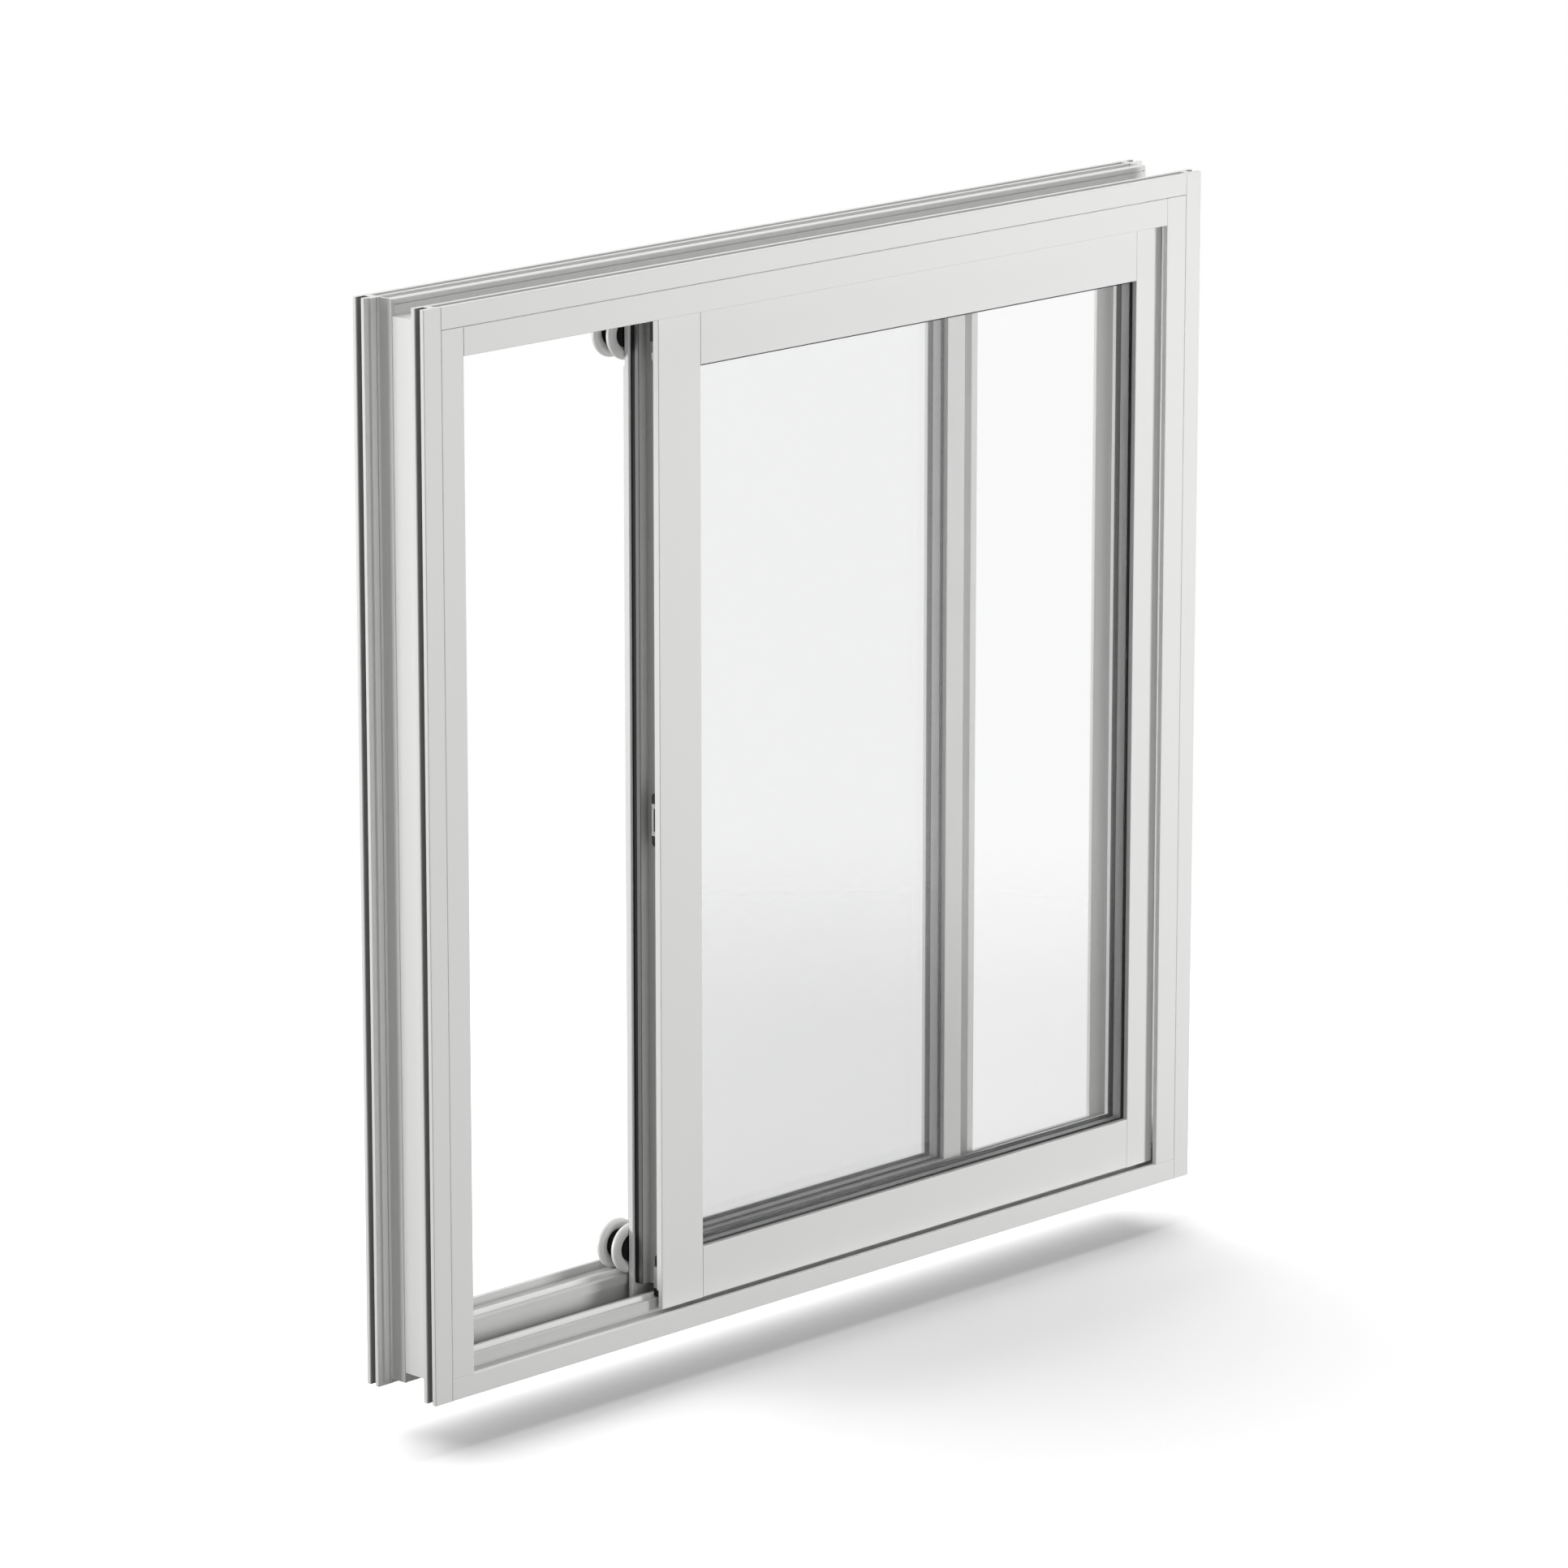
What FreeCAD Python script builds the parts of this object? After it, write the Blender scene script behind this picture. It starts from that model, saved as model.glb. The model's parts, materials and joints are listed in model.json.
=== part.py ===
import FreeCAD, Part
import math
import os
from FreeCAD import Vector

# A two-sash horizontal sliding window in coated aluminium, in millimetres.
# X runs along the tracks from left to right, Y from the front face to the back,
# Z upwards. The origin is on the back of the front wall flange, in the middle of its
# run under the sill. Pieces are drawn from the left front lower corner and then moved.

# Frame, overall
WIDTH = 1000.0
HEIGHT = 1000.0
FACE = 20.5            # outer ring of the face, from the outer edge
COVER_WIDTH = 26.5     # snap-in strip inside that ring
COVER_GAP = 0.3        # hairline between neighbouring profiles
TONGUE = 6.0           # tongue on a face plate that a cover strip snaps over
TONGUE_THICK = 2.0
SNAP_CLEAR = 0.1
SOFT = 0.8             # round on the outer corners of the profiles
MERGE = 0.001          # points closer than this are one point

# Frame, depths of the outer side, from the front face
FRONT_PLATE = 5.0
FRONT_GROOVE = 6.5
FRONT_FIN = 5.0
CHANNEL = 41.0         # open web behind the front fin
STEP_RUN = 16.5        # from the packing step to the back shoulder
SHOULDER = 3.0
BACK_FIN = 4.5
BACK_GROOVE = 6.5
BACK_PLATE = 4.5
GROOVE_DEPTH = 10.0
WEB_INSET = 15.0
STEP_INSET = 5.0
SCORE_INSET = 11.0     # assembly line scored along the jamb's back shoulder
SCORE = 1.2
CREST_RUN = 9.0        # upstand along the head, level with its fins
WALL = 2.5
BACK_FACE = 53.0       # height of the back wall, from the outer edge

# Tracks
BOX_WALL = 2.0
FRONT_BOX_TOP = 30.0
BACK_BOX_TOP = 45.0
FRONT_BOX_RUN = 20.0   # depth of the front track box
LEDGE_HEIGHT = 36.0    # line along the face of the back track box
LEDGE_STEP = 3.5
BEAD_WIDTH = 4.0
BEAD_HEIGHT = 4.0
BEAD_FOOT = 1.5        # part of a rail cap that sits in its box
FRONT_BEAD_OFFSET = 7.0    # rail centre behind the face of its box
BACK_BEAD_OFFSET = 10.0
TRACK_CLEAR = 5.0      # between a moving sash and the frame

# Sashes
SASH_PLATE = 5.0
GASKET = 3.0
PANE = 4.0
PANE_SPACE = 10.0
BACK_LIP = 5.0
SASH_GAP = 5.0
PLATE_LOW = 22.0       # lower edge of both sashes, over the frame's lower edge
RAIL_TOP = 71.0        # lower edge of the glass opening
TOP_RAIL_LOW = 97.5    # upper edge of the glass opening, under the frame's top
GLASS_BITE = 6.5       # glass hidden by the rebate
GASKET_SHOW = 2.5      # gasket seen beyond the edge of its rail
SPACER_SHOW = 1.0      # how far the spacer stays behind that edge
REBATE = 8.0
TUBE_WALL = 2.0
SASH_OVERLAP = 4.3     # how far a stile enters the frame behind its cover strip

FRONT_LEFT = 291.6     # left edge of both sashes as they stand
MEETING_STILE = 52.7
END_STILE = 35.8
RECESS = 12.0          # open channel along the front sash's meeting stile
EDGE_LIP = 2.4         # return lip behind the left edge of both sashes
BACK_RECESS = 34.6     # room for the rollers beside the back sash
BACK_RIGHT_FACE = 23.5
BACK_WIDTH = 460.0
HOOK_LIP = 8.5
HOOK_RUN = 23.0

# Rollers of the back sash, two tyres that straddle the rail
WHEEL_SIDES = 56       # flats round a tyre
WHEEL_R = 24.0
WHEEL_DISC = 8.5
WHEEL_SPAN = 28.0
TREAD_WIDTH = 2.0      # flat on the crown of a tyre
CROWN_R = 23.0
CROWN_WIDTH = 5.6
RIM_R = 19.0
HUB_R = 13.0
HUB_SIDES = 32
DISH = 1.2             # how far a tyre's face sinks towards its hub
AXLE_R = 4.0
AXLE_CLEAR = 0.1
HUB_CAP = 2.0
AXLE_X = 7.5           # axle behind the sash's left edge
ARM = 5.0              # arm between the tyres that carries the axle
ARM_GAP = 0.4
ARM_HALF = 8.0
ARM_PLATE = 2.0
ARM_PLATE_HALF = 14.0
ROLL_CLEAR = 0.3

# Rollers hidden in the bottom rails
SMALL_GROOVE = 2.0     # depth of the groove that rides on the rail cap
SMALL_FLANGE = 4.0     # flange on each side of that groove
FRONT_SMALL_R = 11.0
BACK_SMALL_R = 8.0
SMALL_AXLE_R = 2.0
SMALL_SIDES = 24
SMALL_INSET = 60.0     # from the end of the rail
SLOT_CLEAR = 2.0

# Hardware in the recess of the front sash
HARDWARE_WIDTH = 7.0
HARDWARE_REACH = 9.0
FACE_SHEET = 1.5
LATCH_LENGTH = 50.0
LATCH_HEIGHT = 486.0
LATCH_SLOT = 22.0
LATCH_SLOT_WIDTH = 2.4
BRACKET_LOW = 31.6     # heights of the bottom bracket, over the frame's lower edge
BRACKET_BODY = 39.0
BRACKET_SLANT = 59.0
BRACKET_TOP = 62.0
BRACKET_HIGH = 69.5
GUIDE_HIGH = 45.0      # depths of the top guide, under the frame's top
GUIDE_LOW = 71.0
PIN_LOW = 80.0
KNOB_LOW = 89.0
PIN_R = 1.8
KNOB_ROUND = 1.2
KNOB_SIDES = 32
SEAL_WIDTH = 5.0
SEAL_CLEAR = 0.5

# Places that follow from the sizes
COVER_EDGE = FACE + COVER_WIDTH
FIN_START = FRONT_PLATE + FRONT_GROOVE
FIN_END = FIN_START + FRONT_FIN
STEP_START = FIN_END + CHANNEL
SHOULDER_START = STEP_START + STEP_RUN
BACK_FIN_START = SHOULDER_START + SHOULDER
BACK_FIN_END = BACK_FIN_START + BACK_FIN
BACK_START = BACK_FIN_END + BACK_GROOVE
DEPTH = BACK_START + BACK_PLATE
WEB_INNER = WEB_INSET + WALL
TONGUE_FRONT = (FRONT_PLATE - TONGUE_THICK) / 2
TONGUE_BACK = TONGUE_FRONT + TONGUE_THICK
SASH_DEPTH = SASH_PLATE + 2 * GASKET + 2 * PANE + PANE_SPACE + BACK_LIP
FRONT_Y = FRONT_PLATE + TRACK_CLEAR
BACK_Y = FRONT_Y + SASH_DEPTH + SASH_GAP
FRONT_BOX_Y = FRONT_Y + SASH_PLATE + TRACK_CLEAR
FRONT_BOX_END = FRONT_BOX_Y + FRONT_BOX_RUN
BACK_BOX_Y = BACK_Y + SASH_PLATE + TRACK_CLEAR
BACK_BOX_FACE = BACK_BOX_Y + LEDGE_STEP
FRONT_BEAD_Y = FRONT_BOX_Y + FRONT_BEAD_OFFSET
BACK_BEAD_Y = BACK_BOX_Y + BACK_BEAD_OFFSET
FRONT_BEAD_TOP = FRONT_BOX_TOP + BEAD_HEIGHT
BACK_BEAD_TOP = BACK_BOX_TOP + BEAD_HEIGHT
FRONT_RIGHT = WIDTH - COVER_EDGE + SASH_OVERLAP
BACK_RIGHT = FRONT_LEFT + BACK_WIDTH
PLATE_HIGH = HEIGHT - PLATE_LOW
ORIGIN = Vector(WIDTH / 2, FIN_END, WEB_INSET / 2)

parts = {}


# The face inside an outline. A point is a pair, or a pair and the radius of its corner,
# and place turns a pair into a point in space.
def outlined(points, place):
    ends = []
    edges = []
    for index, point in enumerate(points):
        corner = place(point[0], point[1])
        if len(point) == 2:
            ends.append((corner, corner))
            continue
        before = place(*points[index - 1][:2])
        after = place(*points[(index + 1) % len(points)][:2])
        back = (before - corner).normalize() * point[2]
        on = (after - corner).normalize() * point[2]
        middle = corner + (back + on) * (1 - 0.5 ** 0.5)
        edges.append(Part.Arc(corner + back, middle, corner + on).toShape())
        ends.append((corner + back, corner + on))
    for index, end in enumerate(ends):
        start = ends[(index + 1) % len(ends)][0]
        if not end[1].isEqual(start, MERGE):
            edges.append(Part.makeLine(end[1], start))
    return Part.Face(Part.Wire(Part.__sortEdges__(edges)))


# Make a prism from an outline of (depth, inset) pairs, along the sill from x0 to x1
def profile(outline, x0, x1):
    return outlined(outline, lambda y, w: Vector(x0, y, w)).extrude(Vector(x1 - x0, 0, 0))


# A stile from an outline of (x, depth) pairs, as tall as both sashes
def stile(outline):
    face = outlined(outline, lambda x, y: Vector(x, y, PLATE_LOW))
    return face.extrude(Vector(0, 0, PLATE_HIGH - PLATE_LOW))


# A block between two corners
def block(x0, x1, y0, y1, z0, z1):
    return Part.makeBox(x1 - x0, y1 - y0, z1 - z0, Vector(x0, y0, z0))


# A cylinder along the depth
def rod(x, z, radius, y0, y1):
    return Part.makeCylinder(radius, y1 - y0, Vector(x, y0, z), Vector(0, 1, 0))


# A solid turned from a closed outline of (radius, place along the axis) pairs, in flat
# bands. Its axis runs from foot along the unit vector axis, and across is square to it.
def turned(outline, sides, foot, axis, across):
    other = axis.cross(across)

    def ring(radius, along):
        angles = [2 * math.pi * side / sides for side in range(sides)]
        return [foot + axis * along + (across * math.cos(a) + other * math.sin(a)) * radius for a in angles]

    faces = []
    for first, second in zip(outline, outline[1:] + outline[:1]):
        near = ring(*first)
        far = ring(*second)
        for side in range(sides):
            following = (side + 1) % sides
            corners = [near[side], near[following], far[following], far[side]]
            distinct = [c for i, c in enumerate(corners) if not c.isEqual(corners[i - 1], MERGE)]
            if len(distinct) > 2:
                faces.append(Part.Face(Part.makePolygon(distinct + distinct[:1])))
    shell = Part.makeShell(faces)
    shell.sewShape()
    solid = Part.makeSolid(shell)
    if solid.Volume < 0:
        solid.reverse()
    return solid.removeSplitter()


# A member drawn as a sill is turned into the head
def as_head(shape):
    return shape.mirror(Vector(0, 0, HEIGHT / 2), Vector(0, 0, 1))


# A member drawn along X is stood up as the left jamb, its inset along +X
def as_left(shape):
    turned = shape.copy()
    turned.rotate(Vector(0, 0, 0), Vector(0, 1, 0), 90)
    return turned.mirror(Vector(0, 0, 0), Vector(0, 0, 1))


# The left jamb is mirrored to the right
def as_right(shape):
    return shape.mirror(Vector(WIDTH / 2, 0, 0), Vector(1, 0, 0))


# The outer side of a member. The front flange is a double fin, and so is the back one.
# Between them the web is open, and middle is what stands on it.
def outer_side(middle):
    front = [
        (0, 0, SOFT), (FRONT_PLATE, 0, SOFT), (FRONT_PLATE, GROOVE_DEPTH), (FIN_START, GROOVE_DEPTH),
        (FIN_START, 0, SOFT), (FIN_END, 0, SOFT), (FIN_END, WEB_INSET),
    ]
    back = [
        (BACK_FIN_START, STEP_INSET), (BACK_FIN_START, 0, SOFT), (BACK_FIN_END, 0, SOFT),
        (BACK_FIN_END, GROOVE_DEPTH), (BACK_START, GROOVE_DEPTH), (BACK_START, 0, SOFT),
        (DEPTH, 0, SOFT),
    ]
    return front + middle + back


# Members

# A track member has a packing step outside, and inside a box and a groove for each rail cap
def track_member():
    x0 = WEB_INNER + COVER_GAP
    x1 = WIDTH - x0
    bead = BEAD_WIDTH / 2
    step = [(STEP_START, WEB_INSET), (STEP_START, STEP_INSET, SOFT)]
    inner = [
        (DEPTH, BACK_FACE, SOFT), (BACK_START, BACK_FACE, SOFT), (BACK_START, BACK_BOX_TOP),
        (BACK_BEAD_Y + bead, BACK_BOX_TOP), (BACK_BEAD_Y + bead, BACK_BOX_TOP - BEAD_FOOT),
        (BACK_BEAD_Y - bead, BACK_BOX_TOP - BEAD_FOOT), (BACK_BEAD_Y - bead, BACK_BOX_TOP),
        (BACK_BOX_Y, BACK_BOX_TOP, SOFT), (BACK_BOX_Y, LEDGE_HEIGHT), (BACK_BOX_FACE, LEDGE_HEIGHT),
        (BACK_BOX_FACE, WEB_INNER), (FRONT_BOX_END, WEB_INNER), (FRONT_BOX_END, FRONT_BOX_TOP, SOFT),
        (FRONT_BEAD_Y + bead, FRONT_BOX_TOP), (FRONT_BEAD_Y + bead, FRONT_BOX_TOP - BEAD_FOOT),
        (FRONT_BEAD_Y - bead, FRONT_BOX_TOP - BEAD_FOOT), (FRONT_BEAD_Y - bead, FRONT_BOX_TOP),
        (FRONT_BOX_Y, FRONT_BOX_TOP, SOFT), (FRONT_BOX_Y, WEB_INNER), (FRONT_PLATE, WEB_INNER),
        (FRONT_PLATE, FACE, SOFT), (0, FACE, SOFT),
    ]
    solid = profile(outer_side(step) + inner, x0, x1)
    # its face and back plates stop against those of the jambs
    corner = FACE - WEB_INNER
    for y0, y1 in ((0, FRONT_PLATE), (BACK_START, DEPTH)):
        for x in (x0, x1 - corner):
            solid = solid.cut(block(x, x + corner, y0, y1, 0, BACK_FACE))
    roof = BEAD_FOOT + BOX_WALL
    front_room = profile([
        (FRONT_BOX_Y + BOX_WALL, WEB_INNER), (FRONT_BOX_END - BOX_WALL, WEB_INNER),
        (FRONT_BOX_END - BOX_WALL, FRONT_BOX_TOP - roof),
        (FRONT_BOX_Y + BOX_WALL, FRONT_BOX_TOP - roof),
    ], x0, x1)
    back_room = profile([
        (BACK_BOX_FACE + BOX_WALL, WEB_INNER), (BACK_START - BOX_WALL, WEB_INNER),
        (BACK_START - BOX_WALL, BACK_BOX_TOP - roof),
        (BACK_BOX_FACE + BOX_WALL, BACK_BOX_TOP - roof),
    ], x0, x1)
    return solid.cut(front_room).cut(back_room)


# The head's upstand, on a neck that leaves a line along its foot
def crest():
    neck = STEP_START + SCORE
    return profile([
        (STEP_START, 0, SOFT), (STEP_START + CREST_RUN, 0, SOFT), (STEP_START + CREST_RUN, STEP_INSET),
        (neck, STEP_INSET), (neck, STEP_INSET - SCORE), (STEP_START, STEP_INSET - SCORE),
    ], WEB_INNER + COVER_GAP, WIDTH - WEB_INNER - COVER_GAP)


# The tongue on the edge of a face plate, which stays short of the corners
def tongue(start, length=WIDTH):
    return block(start, length - start, TONGUE_FRONT, TONGUE_BACK, FACE, FACE + TONGUE)


# A jamb has a plain inner wall, and its web runs on to the back shoulder
def jamb():
    shoulder = [
        (STEP_START - SCORE / 2, WEB_INSET), (STEP_START, WEB_INSET + SCORE / 2),
        (STEP_START + SCORE / 2, WEB_INSET), (SHOULDER_START, WEB_INSET),
        (SHOULDER_START, SCORE_INSET + SCORE), (SHOULDER_START + SCORE, SCORE_INSET + SCORE),
        (SHOULDER_START + SCORE, SCORE_INSET), (SHOULDER_START, SCORE_INSET),
        (SHOULDER_START, STEP_INSET),
    ]
    inner = [
        (DEPTH, BACK_FACE, SOFT), (BACK_START, BACK_FACE, SOFT), (BACK_START, WEB_INNER),
        (FRONT_PLATE, WEB_INNER), (FRONT_PLATE, FACE), (0, FACE, SOFT),
    ]
    solid = profile(outer_side(shoulder) + inner, 0, HEIGHT)
    # its web stops where the head and the sill pass, and its foot is short of the step
    web = block(0, WEB_INSET, FIN_END, STEP_START, 0, FACE)
    foot = block(0, STEP_INSET, STEP_START, BACK_FIN_START, 0, FACE)
    plate = block(0, BACK_FACE + COVER_GAP, BACK_START, DEPTH, FACE, BACK_FACE)
    to_top = Vector(HEIGHT, 0, 0)
    solid = solid.cut(web).cut(foot).cut(plate)
    solid = solid.cut(web.translated(to_top - Vector(WEB_INSET, 0, 0)))
    solid = solid.cut(plate.translated(to_top - Vector(BACK_FACE + COVER_GAP, 0, 0)))
    return as_left(solid.fuse(tongue(FACE + COVER_GAP, HEIGHT)))


# A strip that snaps on to the inner edge of a face plate
def cover(x0, x1):
    start = FACE + COVER_GAP
    floor = FACE + TONGUE + SNAP_CLEAR
    slot_front = TONGUE_FRONT - SNAP_CLEAR
    slot_back = TONGUE_BACK + SNAP_CLEAR
    return profile([
        (0, start, SOFT), (slot_front, start), (slot_front, floor), (slot_back, floor),
        (slot_back, start), (FRONT_PLATE, start), (FRONT_PLATE, COVER_EDGE, SOFT),
        (0, COVER_EDGE, SOFT),
    ], x0, x1)


left = jamb()
side_cover = as_left(cover(FACE + COVER_GAP, HEIGHT - FACE - COVER_GAP))
sill = track_member()
parts["left_jamb"] = left
parts["right_jamb"] = as_right(left)
parts["sill"] = sill
parts["head"] = as_head(sill.fuse(tongue(COVER_EDGE + COVER_GAP)).fuse(crest()))
parts["left_cover_strip"] = side_cover
parts["right_cover_strip"] = as_right(side_cover)
parts["head_cover_strip"] = as_head(cover(COVER_EDGE + COVER_GAP, WIDTH - COVER_EDGE - COVER_GAP))


# A rail cap with a round top, seated in the groove of its box
def rail_cap(y, box_top):
    half = BEAD_WIDTH / 2
    low = box_top - BEAD_FOOT
    high = box_top + BEAD_HEIGHT
    return profile([
        (y - half, low), (y + half, low), (y + half, high, half), (y, high), (y - half, high, half),
    ], WEB_INNER + COVER_GAP, WIDTH - WEB_INNER - COVER_GAP)


front_rail = rail_cap(FRONT_BEAD_Y, FRONT_BOX_TOP)
back_rail = rail_cap(BACK_BEAD_Y, BACK_BOX_TOP)
parts["front_rail"] = front_rail
parts["back_rail"] = back_rail
parts["front_guide"] = as_head(front_rail)
parts["back_guide"] = as_head(back_rail)


# Sashes

# The rail of a sash stands over the track, with a plate that hangs in front of its box
def sash_rail(y0, edge, tube_low, x0, x1):
    plate_y = y0 + SASH_PLATE
    back = y0 + SASH_DEPTH
    lip_y = back - BACK_LIP
    floor = edge - REBATE
    solid = profile([
        (y0, PLATE_LOW, SOFT), (plate_y, PLATE_LOW, SOFT), (plate_y, tube_low), (back, tube_low),
        (back, edge, SOFT), (lip_y, edge), (lip_y, floor), (plate_y, floor), (plate_y, edge),
        (y0, edge, SOFT),
    ], x0, x1)
    room = block(x0, x1, plate_y, back - TUBE_WALL, tube_low + TUBE_WALL, floor - TUBE_WALL)
    return solid.cut(room)


# One sash between its two stiles, with a glass unit held off the rebate by its gaskets
def sash(name, y0, glass_left, glass_right, tube_low, left_solid, right_solid):
    near_gasket = y0 + SASH_PLATE
    near_pane = near_gasket + GASKET
    space = near_pane + PANE
    far_pane = space + PANE_SPACE
    far_gasket = far_pane + PANE
    lip_y = far_gasket + GASKET
    rail_left = glass_left + COVER_GAP
    rail_right = glass_right - COVER_GAP
    opening_high = HEIGHT - TOP_RAIL_LOW
    parts[name + "_left_stile"] = left_solid
    parts[name + "_right_stile"] = right_solid
    parts[name + "_bottom_rail"] = sash_rail(y0, RAIL_TOP, tube_low, rail_left, rail_right)
    parts[name + "_top_rail"] = as_head(sash_rail(y0, TOP_RAIL_LOW, tube_low, rail_left, rail_right))

    def layer(y_a, y_b, grow):
        return block(glass_left - grow, glass_right + grow, y_a, y_b, RAIL_TOP - grow, opening_high + grow)

    spacer_hole = layer(space, far_pane, SPACER_SHOW)
    parts[name + "_near_pane"] = layer(near_pane, space, GLASS_BITE)
    parts[name + "_far_pane"] = layer(far_pane, far_gasket, GLASS_BITE)
    parts[name + "_spacer"] = layer(space, far_pane, GLASS_BITE).cut(spacer_hole)
    for side, y_a, y_b in (("_near_gasket", near_gasket, near_pane), ("_far_gasket", far_gasket, lip_y)):
        parts[name + side] = layer(y_a, y_b, GLASS_BITE).cut(layer(y_a, y_b, -GASKET_SHOW))


# The end of a stile clears its track, and only its plate hangs lower
def clear_track(solid, y0, tube_low):
    low = block(0, WIDTH, y0 + SASH_PLATE, y0 + SASH_DEPTH, 0, tube_low)
    return solid.cut(low).cut(as_head(low))


front_tube_low = FRONT_BEAD_TOP + TRACK_CLEAR
back_tube_low = BACK_BEAD_TOP + TRACK_CLEAR

# front sash, meeting stile on the left with its open recess
fp = FRONT_Y + SASH_PLATE
fb = FRONT_Y + SASH_DEPTH
fl = fb - BACK_LIP
glass_left = FRONT_LEFT + MEETING_STILE
rebate_left = glass_left - REBATE
lip_left = FRONT_LEFT + EDGE_LIP
recess_floor = FRONT_LEFT + RECESS
lip_back = fp + EDGE_LIP
front_left = stile([
    (FRONT_LEFT, FRONT_Y, SOFT), (glass_left, FRONT_Y, SOFT), (glass_left, fp), (rebate_left, fp),
    (rebate_left, fl), (glass_left, fl), (glass_left, fb, SOFT), (lip_left, fb, SOFT), (lip_left, fl),
    (recess_floor, fl), (recess_floor, lip_back), (FRONT_LEFT, lip_back, SOFT),
])
room = block(recess_floor + TUBE_WALL, rebate_left - TUBE_WALL, lip_back, fl, PLATE_LOW, PLATE_HIGH)
front_left = clear_track(front_left.cut(room), FRONT_Y, front_tube_low)

# front sash, closed stile on the right
glass_right = FRONT_RIGHT - END_STILE
rebate_right = glass_right + REBATE
front_right = stile([
    (glass_right, FRONT_Y, SOFT), (FRONT_RIGHT, FRONT_Y, SOFT), (FRONT_RIGHT, fb, SOFT),
    (glass_right, fb, SOFT), (glass_right, fl), (rebate_right, fl), (rebate_right, fp), (glass_right, fp),
])
room = block(rebate_right + TUBE_WALL, FRONT_RIGHT - TUBE_WALL, fp, fb - TUBE_WALL, PLATE_LOW, PLATE_HIGH)
front_right = clear_track(front_right.cut(room), FRONT_Y, front_tube_low)
sash("front", FRONT_Y, glass_left, glass_right, front_tube_low, front_left, front_right)

# back sash, left stile with room for the rollers behind its plate
bp = BACK_Y + SASH_PLATE
bb = BACK_Y + SASH_DEPTH
bl = bb - BACK_LIP
stile_wall = FRONT_LEFT + BACK_RECESS
back_left = stile([
    (FRONT_LEFT, BACK_Y, SOFT), (glass_left, BACK_Y, SOFT), (glass_left, bp), (rebate_left, bp),
    (rebate_left, bl), (glass_left, bl), (glass_left, bb, SOFT), (stile_wall, bb, SOFT),
    (stile_wall, bp), (lip_left, bp), (lip_left, bp + EDGE_LIP), (FRONT_LEFT, bp + EDGE_LIP, SOFT),
])
room = block(stile_wall + TUBE_WALL, rebate_left - TUBE_WALL, bp, bb - TUBE_WALL, PLATE_LOW, PLATE_HIGH)
back_left = clear_track(back_left.cut(room), BACK_Y, back_tube_low)

# its edge lip is notched for the rollers
wheel_x = FRONT_LEFT + AXLE_X
wheel_z = BACK_BOX_TOP + ROLL_CLEAR + WHEEL_R
notch = block(FRONT_LEFT, lip_left, bp, bp + EDGE_LIP, PLATE_LOW, wheel_z + WHEEL_R + TRACK_CLEAR)
back_left = back_left.cut(notch).cut(as_head(notch))

# back sash, right stile with a plate, a tube and the hook behind
hook = BACK_RIGHT - HOOK_LIP
face_end = hook - HOOK_RUN + 2 * TUBE_WALL
back_glass_right = face_end - BACK_RIGHT_FACE
back_rebate = back_glass_right + REBATE
hook_y = bp + SASH_GAP
back_right = stile([
    (back_glass_right, BACK_Y, SOFT), (face_end, BACK_Y, SOFT), (face_end, bl), (hook, bl),
    (hook, hook_y, SOFT), (BACK_RIGHT, hook_y, SOFT), (BACK_RIGHT, bb, SOFT),
    (back_glass_right, bb, SOFT), (back_glass_right, bl), (back_rebate, bl), (back_rebate, bp),
    (back_glass_right, bp),
])
room = block(back_rebate + TUBE_WALL, face_end - TUBE_WALL, bp, bl, PLATE_LOW, PLATE_HIGH)
back_right = clear_track(back_right.cut(room), BACK_Y, back_tube_low)
sash("back", BACK_Y, glass_left, back_glass_right, back_tube_low, back_left, back_right)


# Rollers that stick out of the back sash

# One tyre, turned from half its outline: a crowned tread and a face dished to the hub
def tyre(middle):
    half = WHEEL_DISC / 2
    bore = HUB_R + AXLE_CLEAR
    side = [(bore, half - DISH), (RIM_R, half), (CROWN_R, CROWN_WIDTH / 2), (WHEEL_R, TREAD_WIDTH / 2)]
    other = [(radius, -offset) for radius, offset in reversed(side)]
    return turned(side + other, WHEEL_SIDES, Vector(wheel_x, middle, wheel_z), Vector(0, 1, 0), Vector(1, 0, 0))


# The black hub of a tyre turns on the axle and is closed at its outer end
def half_hub(outer, inner):
    away = Vector(0, 1 if inner > outer else -1, 0)
    length = abs(inner - outer)
    bore = AXLE_R + AXLE_CLEAR
    outline = [(0, 0), (HUB_R, 0), (HUB_R, length), (bore, length), (bore, HUB_CAP), (0, HUB_CAP)]
    return turned(outline, HUB_SIDES, Vector(wheel_x, outer, wheel_z), away, Vector(1, 0, 0))


# An arm between the tyres carries the axle and ends in a plate on the stile
def fork():
    y0 = BACK_BEAD_Y - ARM / 2
    y1 = BACK_BEAD_Y + ARM / 2
    reach = WHEEL_SPAN / 2 - DISH - HUB_CAP - ARM_GAP
    arm = block(wheel_x, stile_wall, y0, y1, wheel_z - ARM_HALF, wheel_z + ARM_HALF)
    plate = block(stile_wall - ARM_PLATE, stile_wall, y0, y1, wheel_z - ARM_PLATE_HALF,
                  wheel_z + ARM_PLATE_HALF)
    nose = rod(wheel_x, wheel_z, ARM_HALF, y0, y1)
    axle = rod(wheel_x, wheel_z, AXLE_R, BACK_BEAD_Y - reach, BACK_BEAD_Y + reach)
    return arm.fuse([plate, nose, axle]).removeSplitter()


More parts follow.
